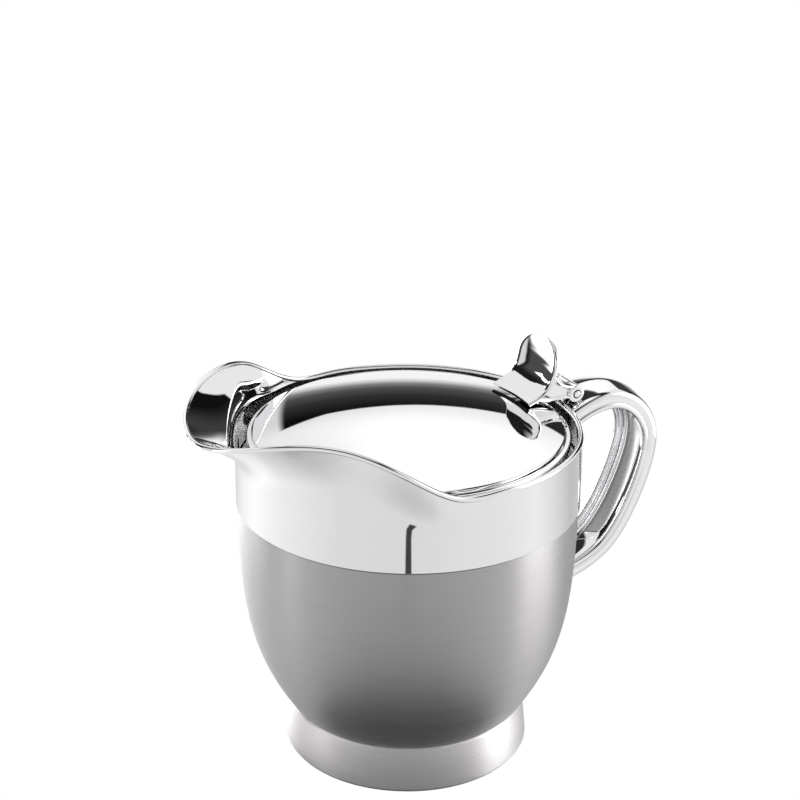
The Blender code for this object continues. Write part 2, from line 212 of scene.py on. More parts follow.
def new_ring(count):
    """A ring of points at the origin, in edit mode, each knowing its place in the ring."""
    start_fresh()
    bpy.ops.mesh.primitive_circle_add(vertices=count, radius=10 * MM, location=(0, 0, 0))
    obj = bpy.context.object
    layer = obj.data.attributes.new("place", "INT", "POINT")
    layer.data.foreach_set("value", list(range(count)))
    bpy.ops.object.mode_set(mode="EDIT")
    bpy.ops.mesh.select_all(action="SELECT")
    return obj


def lay_out(obj, points):
    """Put the selected ring's points where they belong."""
    bm = bmesh.from_edit_mesh(obj.data)
    place = bm.verts.layers.int["place"]
    for vert in bm.verts:
        if vert.select:
            vert.co = points[vert[place]]
    bmesh.update_edit_mesh(obj.data, loop_triangles=False, destructive=False)


def loft(name, rings, closed=False, capped=False, smooth_angle=35):
    """Extrude a ring through a row of laid-out rings. Closed joins the last to the first."""
    obj = new_ring(len(rings[0]))
    lay_out(obj, rings[0])
    if capped:
        bpy.ops.mesh.edge_face_add()
        bpy.ops.mesh.select_mode(type="VERT")
    for ring in rings[1:] + ([rings[0]] if closed else []):
        bpy.ops.mesh.extrude_region_move()
        lay_out(obj, ring)
    if capped:
        split_caps(obj)
    tidy(obj, name, smooth_angle)
    obj.data.attributes.remove(obj.data.attributes["place"])
    return obj


def split_caps(obj):
    """Cut the many-sided end faces into triangles."""
    bm = bmesh.from_edit_mesh(obj.data)
    for face in bm.faces:
        face.select_set(len(face.verts) > 4)
    bmesh.update_edit_mesh(obj.data)
    bpy.ops.mesh.quads_convert_to_tris()


def turned(name, outline):
    """Spin a section, listed round in (r, z) millimetres, about the jug's axis."""
    obj = new_ring(len(outline))
    lay_out(obj, [Vector((AXIS_X + r * MM, 0, z * MM)) for r, z in outline])
    bm = bmesh.from_edit_mesh(obj.data)
    for edge in bm.edges:
        edge.select = all(vert.co.x - AXIS_X < 0.00001 for vert in edge.verts)
    if any(edge.select for edge in bm.edges):
        bmesh.update_edit_mesh(obj.data)
        bpy.ops.mesh.delete(type="EDGE")
    bpy.ops.mesh.select_all(action="SELECT")
    bpy.ops.mesh.spin(steps=TURN_STEPS, angle=2 * math.pi, center=AXIS, axis=(0, 0, 1))
    tidy(obj, name)
    obj.data.attributes.remove(obj.data.attributes["place"])
    return obj


def apply_boolean(obj, other, operation, overlapping=False):
    """Cut another shape out of an object, or join the shape to it, and apply it."""
    start_fresh()
    bpy.context.view_layer.objects.active = obj
    obj.select_set(True)
    modifier = obj.modifiers.new("shape", "BOOLEAN")
    modifier.operation = operation
    modifier.object = other
    modifier.solver = "EXACT"
    modifier.use_self = overlapping
    bpy.ops.object.modifier_apply(modifier=modifier.name)
    bpy.data.objects.remove(other, do_unlink=True)


def bar(name, radius, low, high, center, bevel=0.0):
    """A round bar across the jug with softened ends."""
    start_fresh()
    bpy.ops.mesh.primitive_cylinder_add(vertices=64, radius=radius, depth=high - low,
                                        location=(center.x, (low + high) / 2, center.z),
                                        rotation=(math.pi / 2, 0, 0))
    obj = bpy.context.object
    bpy.ops.object.transform_apply(location=True, rotation=True, scale=True)
    if bevel:
        bpy.ops.object.mode_set(mode="EDIT")
        bm = bmesh.from_edit_mesh(obj.data)
        for edge in bm.edges:
            edge.select = abs(edge.verts[0].co.y - edge.verts[1].co.y) < 0.000001
        bmesh.update_edit_mesh(obj.data)
        bpy.ops.mesh.bevel(offset=bevel, segments=4)
    return tidy(obj, name)


def box_block(low, high):
    """A plain block for cutting, from its lowest to its highest corner."""
    start_fresh()
    middle = (Vector(low) + Vector(high)) / 2
    bpy.ops.mesh.primitive_cube_add(size=1, location=middle, scale=Vector(high) - Vector(low))
    bpy.ops.object.transform_apply(location=True, rotation=True, scale=True)
    return bpy.context.object


def settle(obj, body, nodes, material):
    """Dress a finished piece and hang it on its body."""
    obj.data.materials.clear()
    obj.data.materials.append(material)
    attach(obj, body)
    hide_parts(*nodes)


# ---- shader maths ----
class Wire:
    """A shader value that works in sums; each operator adds a Math node."""

    def __init__(self, tree, socket):
        self.tree = tree
        self.socket = socket

    def math(self, operation, *others):
        node = self.tree.nodes.new("ShaderNodeMath")
        node.operation = operation
        for place, value in zip(node.inputs, others):
            if isinstance(value, Wire):
                self.tree.links.new(value.socket, place)
            else:
                place.default_value = value
        return Wire(self.tree, node.outputs[0])

    def __add__(self, other):
        return self.math("ADD", self, other)

    def __sub__(self, other):
        return self.math("SUBTRACT", self, other)

    def __rsub__(self, other):
        return self.math("SUBTRACT", other, self)

    def __mul__(self, other):
        return self.math("MULTIPLY", self, other)

    def __truediv__(self, other):
        return self.math("DIVIDE", self, other)

    def __pow__(self, other):
        return self.math("POWER", self, other)

    def __abs__(self):
        return self.math("ABSOLUTE", self)

    __radd__ = __add__
    __rmul__ = __mul__

    def least(self, other):
        return self.math("MINIMUM", self, other)

    def most(self, other):
        return self.math("MAXIMUM", self, other)

    def fade(self, low, high):
        """0 at low and 1 at high, smooth in between."""
        node = self.tree.nodes.new("ShaderNodeMapRange")
        node.interpolation_type = "SMOOTHSTEP"
        node.clamp = True
        self.tree.links.new(self.socket, node.inputs["Value"])
        node.inputs["From Min"].default_value = low
        node.inputs["From Max"].default_value = high
        return Wire(self.tree, node.outputs["Result"])

    def drop(self, low, high):
        """1 at low and 0 at high, smooth in between."""
        return 1 - self.fade(low, high)

    def near(self, middle, full, none):
        """1 within full of the middle and 0 farther off than none."""
        return abs(self - middle).drop(full, none)


class Nodes:
    """Adds nodes to one shader tree."""

    def __init__(self, tree):
        self.tree = tree

    def add(self, kind, settings=None, **values):
        """One node: settings are its own options, values go to its sockets by name."""
        node = self.tree.nodes.new(kind)
        for key, value in (settings or {}).items():
            setattr(node, key, value)
        for key, value in values.items():
            socket = node.inputs[key.replace("_", " ")]
            if isinstance(value, Wire):
                self.tree.links.new(value.socket, socket)
            else:
                socket.default_value = value
        return node

    def wire(self, node, output=0):
        return Wire(self.tree, node.outputs[output])

    def parts(self, wire):
        """The three numbers in a vector."""
        node = self.add("ShaderNodeSeparateXYZ", Vector=wire)
        return [self.wire(node, index) for index in range(3)]

    def vector(self, x, y, z):
        return self.wire(self.add("ShaderNodeCombineXYZ", X=x, Y=y, Z=z))

    def mix(self, factor, first, second):
        node = self.tree.nodes.new("ShaderNodeMix")
        node.data_type = "RGBA"
        for place, value in ((0, factor), (6, first), (7, second)):
            if isinstance(value, Wire):
                self.tree.links.new(value.socket, node.inputs[place])
            else:
                node.inputs[place].default_value = value
        return Wire(self.tree, node.outputs[2])


def steel(name, color, roughness):
    """A steel material, with its node builder and its shader node."""
    material = bpy.data.materials.new(name)
    material.use_nodes = True
    nodes = Nodes(material.node_tree)
    shader = material.node_tree.nodes["Principled BSDF"]
    shader.inputs["Base Color"].default_value = (*color, 1)
    shader.inputs["Metallic"].default_value = 1.0
    shader.inputs["Roughness"].default_value = roughness
    return material, nodes, shader


def feed(nodes, shader, **wires):
    for key, wire in wires.items():
        nodes.tree.links.new(wire.socket, shader.inputs[key.replace("_", " ")])


def mirror_steel(name, finish, wave=0.25):
    """Polished steel: almost a mirror, with the slow ripple and fine haze of hand buffing."""
    color = tuple(finish.mirror)
    slow_scale, haze_scale, rub_scale = 70.0, 260.0, 35.0
    material, nodes, shader = steel(name, color, finish.mirror_roughness)
    spot = nodes.wire(nodes.add("ShaderNodeTexCoord"), "Object")
    slow = nodes.wire(nodes.add("ShaderNodeTexNoise", Vector=spot, Scale=slow_scale, Detail=1.0,
                                Roughness=0.4))
    haze = nodes.wire(nodes.add("ShaderNodeTexNoise", Vector=spot, Scale=haze_scale, Detail=3.0,
                                Roughness=0.6))
    rub = nodes.wire(nodes.add("ShaderNodeTexNoise", Vector=spot, Scale=rub_scale, Detail=2.0,
                               Distortion=0.6))
    blur = finish.mirror_roughness * (0.7 + 0.8 * haze * rub.fade(0.35, 0.7))
    ripple = nodes.add("ShaderNodeBump", Height=slow, Strength=wave, Distance=0.02 * MM)
    dull = tuple(0.985 * c for c in color) + (1,)
    shade = nodes.mix(haze.fade(0.2, 0.8), dull, color + (1,))
    feed(nodes, shader, Roughness=blur, Normal=nodes.wire(ripple), Base_Color=shade)
    return material


def satin_steel(name, finish, tone=1.0, mark_length=14.0, softness=1.0):
    """Brushed steel: fine marks that run round the jug, a little uneven in tone."""
    mark_pitch = 0.22
    color = tuple(channel * tone for channel in finish.satin)
    roughness = finish.satin_roughness * softness
    material, nodes, shader = steel(name, color, roughness)
    x, y, z = nodes.parts(nodes.wire(nodes.add("ShaderNodeTexCoord"), "Object"))
    along = 1 / (mark_length * MM)
    across = 1 / (mark_pitch * MM)
    marks_at = nodes.vector((x - AXIS_X) * along, y * along, z * across)
    marks = nodes.wire(nodes.add("ShaderNodeTexNoise", Vector=marks_at, Scale=1.0, Detail=3.0,
                                 Roughness=0.65))
    bands_at = nodes.vector((x - AXIS_X) * along * 0.5, y * along * 0.5, z * across * 0.12)
    bands = nodes.wire(nodes.add("ShaderNodeTexNoise", Vector=bands_at, Scale=1.0, Detail=2.0))
    lines = marks.fade(0.25, 0.75)
    broad = bands.fade(0.2, 0.8)
    light = tuple(min(1.0, c * 1.05) for c in color) + (1,)
    dark = tuple(c * 0.93 for c in color) + (1,)
    shade = nodes.mix(lines * 0.85 + broad * 0.15, dark, light)
    blur = roughness * (0.92 + 0.12 * lines + 0.04 * broad)
    grain = nodes.add("ShaderNodeBump", Height=lines, Strength=finish.brushing,
                      Distance=0.004 * MM)
    feed(nodes, shader, Base_Color=shade, Roughness=blur, Normal=nodes.wire(grain))
    shader.inputs["Anisotropic"].default_value = 0.8
    shader.inputs["Anisotropic Rotation"].default_value = 0.25
    return material


# ---- foot, bowl and vessel ----
def bowl_line(inset, count, seam):
    """The bowl's profile from the seam down to the foot, moved in by a wall."""
    return bezier((43.6 - inset, seam), (43.6 - inset, 38.3), (40.85 - inset, 27.6),
                  (31.1 - inset, 12.8), count)


class JUG_OT_foot(bpy.types.Operator):
    """Turn the foot ring and brush it."""
    bl_idname = "cream_jug.foot"
    bl_label = "Foot ring"

    def execute(self, context):
        corners = [(30.1, 6.0), (29.6, 12.2), (30.5, 12.2, 0.15), (30.9, 11.75, 0.3),
                   (32.0, 0.75, 0.4), (31.4, 0.0), (28.4, 0.0), (28.1, 0.5), (28.4, 1.2),
                   (30.4, 1.3), (30.6, 1.9)]
        foot = turned("foot_ring_turned", rounded(corners))
        finish = context.scene.jug_finish
        # The foot's steel colour is 2.1 times the bowl's: painted light, a brightened copy of the
        # same satin steel that stands in for the light the foot catches.
        settle(foot, "jug", ["foot_ring"],
               satin_steel("foot_satin", finish, 2.1, mark_length=10.0, softness=1.25))
        return {"FINISHED"}


class JUG_OT_bowl(bpy.types.Operator):
    """Turn the outer bowl and brush it."""
    bl_idname = "cream_jug.bowl"
    bl_label = "Outer bowl"

    def execute(self, context):
        sizes = context.scene.jug_sizes
        seam = (sizes.seam - sizes.gap) / MM
        wall = sizes.shell / MM
        lap, lap_top = 42.7, 72.0
        base = 12.5
        section = [(lap, lap_top), (lap, seam), (43.45, seam), (43.57, seam - 0.12)]
        section += bowl_line(0, 40, seam)[1:]
        section += [(30.6, base), (0, base), (0, base + wall), (30.2, base + wall)]
        section += bowl_line(wall, 16, seam - wall)[-2::-1]
        section += [(lap - wall, seam - wall), (lap - wall, lap_top)]
        bowl = turned("bowl", section)
        settle(bowl, "jug", ["outer_body"],
               satin_steel("bowl_satin", context.scene.jug_finish))
        return {"FINISHED"}


class JUG_OT_vessel(bpy.types.Operator):
    """Turn the inner vessel."""
    bl_idname = "cream_jug.vessel"
    bl_label = "Inner vessel"

    def execute(self, context):
        wall = context.scene.jug_sizes.shell / MM
        top, edge = 79.5, 42.8
        side = 40.0
        base, base_radius = 17.0, 27.0
        lip = [(edge, top), (40.9, top, 0.5), (side - wall, top - 1.8)]
        outside = bezier((side, 66.0), (side, 40.0), (37.0, 30.0), (28.5, 17.8), 16)
        inside = bezier((side - wall, 66.0), (side - wall, 40.4), (36.4, 30.8), (28.0, 18.6), 16)
        section = rounded(lip) + inside
        section += [(base_radius, 17.8), (0, 17.8), (0, base), (base_radius, base)]
        section += outside[::-1] + [(side, top - 1.4), (40.6, top - wall), (edge, top - wall)]
        vessel = turned("vessel_liner", section)
        settle(vessel, "jug", ["inner_vessel"],
               satin_steel("vessel_satin", context.scene.jug_finish, 1.1))
        return {"FINISHED"}


# ---- collar and spout ----
class RimLine:
    """A rim measure as a closed smooth curve round the jug."""

    def __init__(self, values):
        count = int(360 / RIM_STEP)
        last = len(values) - 1
        self.knots = np.array([values[min(i, count - i, last)] for i in range(count)])
        bend = 6 * (np.roll(self.knots, 1) - 2 * self.knots + np.roll(self.knots, -1))
        stiff = 4 * np.eye(count) + np.roll(np.eye(count), 1, 0) + np.roll(np.eye(count), -1, 0)
        self.moments = np.linalg.solve(stiff, bend)

    def at(self, angle):
        place = (angle % 360) / RIM_STEP
        low = int(place) % len(self.knots)
        high = (low + 1) % len(self.knots)
        t = place - int(place)
        s = 1 - t
        return float(s * self.knots[low] + t * self.knots[high]
                     + ((s ** 3 - s) * self.moments[low] + (t ** 3 - t) * self.moments[high]) / 6)


def collar_section(angle, reach_line, level_line, sizes):
    """The collar's closed section at an angle from the spout's direction, in millimetres."""
    sheet = sizes.sheet / MM
    bead = sizes.rim_bead / MM
    seam = sizes.seam / MM
    radius = sizes.collar_radius / MM
    reach = reach_line.at(angle) + RIM_PROUD - bead
    level = level_line.at(angle)
    wall = radius - sheet / 2
    height = level - seam
    softened = 0.15
    bend = seam + 0.45 * height
    flare = max(0.0, min(1.0, (reach - wall) / (RIM_REACH[0] - radius)))
    flare_turn = 68
    slope = math.radians(90 - flare_turn * flare)
    span = math.hypot(reach - wall, level - bend)
    ends = [np.array(p) for p in ((wall, bend), (wall, bend + 0.3 * span),
                                  (reach - 0.33 * span * math.cos(slope),
                                   level - 0.33 * span * math.sin(slope)), (reach, level))]
    outer = [(wall + sheet / 2 - softened, seam), (wall + sheet / 2, seam + softened)]
    inner = [(wall - sheet / 2 + softened, seam), (wall - sheet / 2, seam + softened)]
    for rise in (0.12, 0.24, 0.36):
        outer.append((wall + sheet / 2, seam + rise * height))
        inner.append((wall - sheet / 2, seam + rise * height))
    steps = 18
    last = 1 - 0.8 * bead / span
    for step in range(steps):
        t = last * step / (steps - 1)
        s = 1 - t
        point = (s ** 3 * ends[0] + 3 * s * s * t * ends[1] + 3 * s * t * t * ends[2]
                 + t ** 3 * ends[3])
        along = (s * s * (ends[1] - ends[0]) + 2 * s * t * (ends[2] - ends[1])
                 + t * t * (ends[3] - ends[2]))
        side = np.array([along[1], -along[0]]) / np.hypot(*along) * sheet / 2
        outer.append(tuple(point + side))
        inner.append(tuple(point - side))
    lean = math.degrees(slope)
    spread = 180 - math.degrees(math.asin(sheet / 2 / bead))
    round_edge = arc((reach, level), bead, lean - spread + 6, lean + spread - 6, 20)
    return outer + round_edge + inner[::-1]


class JUG_OT_collar(bpy.types.Operator):
    """Draw the collar out into its spout, with a rolled rim, and polish it."""
    bl_idname = "cream_jug.collar"
    bl_label = "Collar and spout"

    def execute(self, context):
        sections = 240
        reach_line = RimLine(RIM_REACH)
        level_line = RimLine(RIM_LEVEL)
        columns = []
        for step in range(sections):
            angle = 360 * step / sections
            heading = math.radians(180 + angle)
            across = Vector((math.cos(heading), math.sin(heading), 0))
            section = collar_section(angle, reach_line, level_line, context.scene.jug_sizes)
            columns.append([AXIS + across * r * MM + Vector((0, 0, z * MM)) for r, z in section])
        collar = loft("collar_and_spout", [list(ring) for ring in zip(*columns)], closed=True)
        settle(collar, "jug", ["collar"],
               mirror_steel("collar_mirror", context.scene.jug_finish))
        return {"FINISHED"}


# ---- handle ----
def handle_section(sizes):
    """The strap's channel section: first across, then outwards, in millimetres."""
    edge = sizes.handle_half_width / MM
    crown = sizes.handle_crown / MM
    depth = sizes.handle_flange / MM
    bead = 0.85
    wall = 1.2

    def back_height(u):
        return crown * (1 - (math.hypot(u, 0.12) - 0.12) ** 1.25)

    top = [(edge * u, back_height(u)) for u in (0.0, 0.08, 0.16, 0.24, 0.4, 0.6, 0.76)]
    shoulder = bezier((edge * 0.86, back_height(0.86)), (edge * 0.96, crown * 0.1),
                      (edge - 0.08, -0.35), (edge, -1.1), 8)
    side = bezier((edge, -1.1), (edge + 0.02, -1.8), (edge - 0.12, -2.5),
                  (edge - 0.42, -2.72), 6)[1:]
    foot = arc((edge - bead, bead - depth), bead, 36, -180, 15)
    back = [(edge - 2 * bead + 0.1, bead - depth + 0.5), (edge - wall - 0.05, -1.9)]
    hollow = bezier((edge - wall - 0.1, -1.2), (edge - wall - 0.3, -0.75),
                    (edge * 0.72, back_height(0.72) - wall),
                    (edge * 0.62, back_height(0.62) - wall), 5)
    under = [(edge * u, back_height(u) - wall) for u in (0.42, 0.2, 0.08, 0.0)]
    right = top + shoulder + side + foot + back + hollow + under
    left = [(-x, y) for x, y in right[-2:0:-1]]
    return right + left


def handle_path(sizes, count):
    """Places along the strap's outer edges with their outward directions, in millimetres."""
    back = (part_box("handle")[1].x - AXIS_X - sizes.handle_crown) / MM
    top = 88.0
    knots = [((38.0, 80.3), (42.0, 82.7), (49.0, 86.9)),
             ((53.5, top), (58.8, top), (66.6, top)),
             ((back, 79.8), (back, 72.0), (back, 63.3)),
             ((65.8, 47.7), (61.3, 43.2), (56.0, 37.9)),
             ((48.5, 36.5), (41.0, 34.8), (36.0, 33.6))]
    line = []
    for this, following in zip(knots, knots[1:]):
        line += bezier(this[1], this[2], following[0], following[1], count)[:-1]
    line.append(knots[-1][1])
    line = np.array(line)
    smoothings = 30
    for _ in range(smoothings):
        line[1:-1] = line[1:-1] + 0.25 * (line[:-2] - 2 * line[1:-1] + line[2:])
    along = np.gradient(line, axis=0)
    along /= np.hypot(along[:, 0], along[:, 1])[:, None]
    return line, np.stack([-along[:, 1], along[:, 0]], axis=1)


def jug_core(sizes):
    """The jug's outside drawn in by half a wall, for trimming what is welded to it."""
    inset = 0.45
    top, base = 96.0, 12.8
    radius = sizes.collar_radius / MM - inset
    seam = sizes.seam / MM
    bowl = bowl_line(inset, 16, seam - 0.3)
    return turned("jug_core", [(0, top), (radius, top), (radius, seam)] + bowl + [(0, base)])


class JUG_OT_handle(bpy.types.Operator):
    """Bend the channel-section strap and weld it to the collar and the bowl."""
    bl_idname = "cream_jug.handle"
    bl_label = "Handle"

    def execute(self, context):
        sizes = context.scene.jug_sizes
        section = handle_section(sizes)
        line, outward = handle_path(sizes, 26)
        rings = []
        for place, out in zip(line, outward):
            rings.append([AXIS + MM * Vector((place[0] + y * out[0], x, place[1] + y * out[1]))
                          for x, y in section])
        handle = loft("strap_handle", rings, capped=True, smooth_angle=40)
        apply_boolean(handle, jug_core(sizes), "DIFFERENCE")
        slot_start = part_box("hinge_bracket")[0].x - 3 * MM
        slot_end, slot_low, slot_high = AXIS_X + 50 * MM, 70 * MM, 92 * MM
        side = SLOT_HALF * MM
        cut = box_block((slot_start, -side, slot_low), (slot_end, side, slot_high))
        apply_boolean(handle, cut, "DIFFERENCE")
        bpy.ops.object.shade_smooth_by_angle(angle=math.radians(40))
        settle(handle, "jug", ["handle"],
               mirror_steel("handle_mirror", context.scene.jug_finish, wave=0.4))
        return {"FINISHED"}


# ---- lid ----
class JUG_OT_lid(bpy.types.Operator):
    """Turn the domed lid with its stepped edge and polish it."""
    bl_idname = "cream_jug.lid"
    bl_label = "Lid"

    def execute(self, context):
        sizes = context.scene.jug_sizes
        reach = sizes.dome_radius / MM
        rise = sizes.dome_rise / MM
        edge = sizes.lid_radius / MM
        wall = sizes.shell / MM
        dome_edge = 87.8
        ledge = 86.7

        def dome(count, drop):
            return [(reach * math.sin(math.pi / 2 * i / (count - 1)),
                     dome_edge - drop + rise * math.cos(math.pi / 2 * i / (count - 1)) ** 2)
                    for i in range(count)]

        rim = [dome(48, 0)[-1], (reach + 0.3, dome_edge - 0.25, 0.2),
               (reach + 0.45, ledge + 0.1, 0.2),
               (edge - 0.35, ledge, 0.35), (edge, ledge - 0.6, 0.3), (edge - 0.1, ledge - 1.3),
               (edge - wall - 0.1, ledge - 1.3), (edge - wall, ledge - wall),
               (reach - 0.3, ledge - wall)]
        section = dome(48, 0)[:-1] + rounded(rim) + dome(24, wall)[::-1][1:]
        lid = turned("domed_lid", section)
        settle(lid, "lid", ["lid_dome"],
               mirror_steel("lid_mirror", context.scene.jug_finish, wave=0.1))
        return {"FINISHED"}


# ---- thumb lever ----
def plate_rings(sizes):
    """The thumb plate as rings round its thickness, from the foot to the rounded top."""
    top = LEVER_TOP / MM
    front = np.array([(30.4, 91.0), (33.3, 92.1), (35.8, 93.8), (37.3, 96.2), (38.0, 99.0),
                      (38.4, 101.2), (38.7, 103.1), (38.9, 104.6), (39.0, top)])
    half_width = sizes.plate_half_width / MM
    thick = sizes.plate_thickness / MM
    dish = sizes.plate_dish / MM
    round_from = 99.0
    across = 16
    line = smooth_line(front, 300)
    lower = list(range(0, int(np.argmax(line[:, 1] > round_from)), 9))
    upper = [int(np.argmax(line[:, 1] >= round_from + (top - round_from) * math.sin(a)))
             for a in np.radians(np.linspace(0, 87, 22))]
    along = np.gradient(line, axis=0)
    along /= np.hypot(along[:, 0], along[:, 1])[:, None]
    rings = []
    for row in lower + upper:
        x, z = line[row]
        ax, az = along[row]
        climb = max(0.0, (z - round_from) / (top - round_from))
        shrink = math.sqrt(1 - climb ** 2)
        half = max(0.1, half_width * shrink - thick / 2)
        depth = thick / 2 * min(1.0, max(0.25, shrink * 1.6))
        ring = []
        loop = [(-half + 2 * half * i / across, -1.0, 0.0) for i in range(across + 1)]
        loop += [(half, -math.cos(a), math.sin(a)) for a in np.radians([30, 60, 90, 120, 150])]
        loop += [(half - 2 * half * i / across, 1.0, 0.0) for i in range(across + 1)]
        loop += [(-half, math.cos(a), -math.sin(a)) for a in np.radians([30, 60, 90, 120, 150])]
        for y, out, side in loop:
            hollow = dish * (1 - (y / half_width) ** 2)
            shift = depth * (out + 1)
            ring.append(AXIS + MM * Vector((x + hollow + shift * az, y + depth * side,
                                            z - shift * ax)))
        rings.append(ring)
    return rings


def smooth_line(points, count):
    """A smooth line through given points, evenly spaced along its length."""
    dense = []
    for index in range(len(points) - 1):
        before = points[max(index - 1, 0)]
        start, end = points[index], points[index + 1]
        after = points[min(index + 2, len(points) - 1)]
        for step in range(20):
            t = step / 20
            dense.append((2 * t ** 3 - 3 * t ** 2 + 1) * start
                         + (t ** 3 - 2 * t ** 2 + t) * (end - before) / 2
                         + (3 * t ** 2 - 2 * t ** 3) * end
                         + (t ** 3 - t ** 2) * (after - start) / 2)
    dense.append(points[-1])
    dense = np.array(dense)
    run = np.concatenate([[0], np.cumsum(np.hypot(*np.diff(dense, axis=0).T))])
    wanted = np.linspace(0, run[-1], count)
    line = np.stack([np.interp(wanted, run, dense[:, 0]),
                     np.interp(wanted, run, dense[:, 1])], axis=1)
    for _ in range(6):
        line[1:-1] = line[1:-1] + 0.25 * (line[:-2] - 2 * line[1:-1] + line[2:])
    return line


def shrunk(outline, inset):
    """A closed outline moved inwards along its own normals."""
    points = np.array(outline)
    along = np.roll(points, -1, 0) - np.roll(points, 1, 0)
    along /= np.hypot(along[:, 0], along[:, 1])[:, None]
    after = np.roll(points, -1, 0)
    area = np.sum(points[:, 0] * after[:, 1] - after[:, 0] * points[:, 1])
    inward = np.stack([-along[:, 1], along[:, 0]], axis=1) * (1 if area > 0 else -1)
    return points + inset * inward


def lever_arm():
    """The web between the thumb plate and the knuckles, hollowed on both cheeks."""
    reach = (HINGE.x - AXIS_X) / MM
    corners = [(33.0, 90.5), (36.0, 89.25), (39.0, 88.6), (42.0, 88.55), (45.6, 88.5),
               (reach, 87.9), (reach + 0.5, 89.6), (reach, 91.6), (44.8, 92.2), (42.6, 93.4),
               (41.0, 95.0), (39.9, 97.4), (38.7, 98.8), (38.3, 97.0), (36.6, 93.9), (34.4, 91.9)]
    dense = smooth_line(np.array(corners + corners[:1]), 73)[:-1]
    half = 5.8
    cheek = [(1.2, half - 0.7), (0.9, half - 0.25), (0.5, half), (0.15, half - 0.12),
             (0.0, half - 0.45)]
    full = cheek + [(inset, -y) for inset, y in cheek[::-1]]
    return [[AXIS + MM * Vector((x, y, z)) for x, z in shrunk(dense, inset)] for inset, y in full]


class JUG_OT_lever(bpy.types.Operator):
    """Cast the thumb plate, its web and the two knuckles in one."""
    bl_idname = "cream_jug.lever"
    bl_label = "Thumb lever"

    def execute(self, context):
        sizes = context.scene.jug_sizes
        plate = loft("thumb_piece", plate_rings(sizes), capped=True, smooth_angle=50)
        arm = loft("lever_arm", lever_arm(), capped=True, smooth_angle=50)
        apply_boolean(plate, arm, "UNION", overlapping=True)
        clearance = 0.4 * MM
        side = SLOT_HALF * MM
        sweep = bar("knuckle_sweep", sizes.knuckle + clearance, -side, side, HINGE)
        apply_boolean(plate, sweep, "DIFFERENCE")
        inner_end, outer_end = 2.42, 6.0
        for low, high in ((-outer_end, -inner_end), (inner_end, outer_end)):
            knuckle = bar("knuckle", sizes.knuckle, low * MM, high * MM, HINGE, 0.35 * MM)
            apply_boolean(plate, knuckle, "UNION")
        bore, bore_end = 1.2 * MM, 8 * MM
        apply_boolean(plate, bar("bore", bore, -bore_end, bore_end, HINGE), "DIFFERENCE")
        bpy.ops.object.shade_smooth_by_angle(angle=math.radians(50))
        settle(plate, "lid", ["thumb_lever"],
               mirror_steel("lever_mirror", context.scene.jug_finish, wave=0.5))
        return {"FINISHED"}


class JUG_OT_hinge(bpy.types.Operator):
    """Fit the hinge's pin."""
    bl_idname = "cream_jug.hinge"
    bl_label = "Hinge pin"

    def execute(self, context):
        radius = (PIN_HIGH.z - PIN_LOW.z) / 2
        pin = bar("hinge_pin_turned", radius, PIN_LOW.y, PIN_HIGH.y, HINGE, 0.25 * MM)
        settle(pin, "jug", ["hinge_pin"],
               mirror_steel("pin_mirror", context.scene.jug_finish))
        return {"FINISHED"}


class JUG_OT_inner_parts(bpy.types.Operator):
    """Finish the pieces that keep their own shapes."""
    bl_idname = "cream_jug.inner_parts"
    bl_label = "Inner parts"

    def execute(self, context):
        finish = context.scene.jug_finish
        polished = mirror_steel("fittings_mirror", finish)
        satin = satin_steel("fittings_satin", finish)
        for name in ("hinge_bracket", "handle_lower_pad", "lever_stud_left", "lever_stud_right"):
            dress(name, polished)
        for name in ("base_plate", "lid_pan"):
            dress(name, satin)
        return {"FINISHED"}


def dress(node, material):
    """Give a carried-over piece its material."""
    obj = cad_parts[node]
    obj.data.materials.clear()
    obj.data.materials.append(material)


# ---- stage ----
def directions(nodes, stage, x, y):
    """Level distances ahead of the camera and to its right, with their angle in degrees."""
    ahead = y * math.cos(stage.azimuth) - x * math.sin(stage.azimuth)
    right = x * math.cos(stage.azimuth) + y * math.sin(stage.azimuth)
    return ahead, right, ahead.math("ARCTAN2", right, ahead) * DEGREES


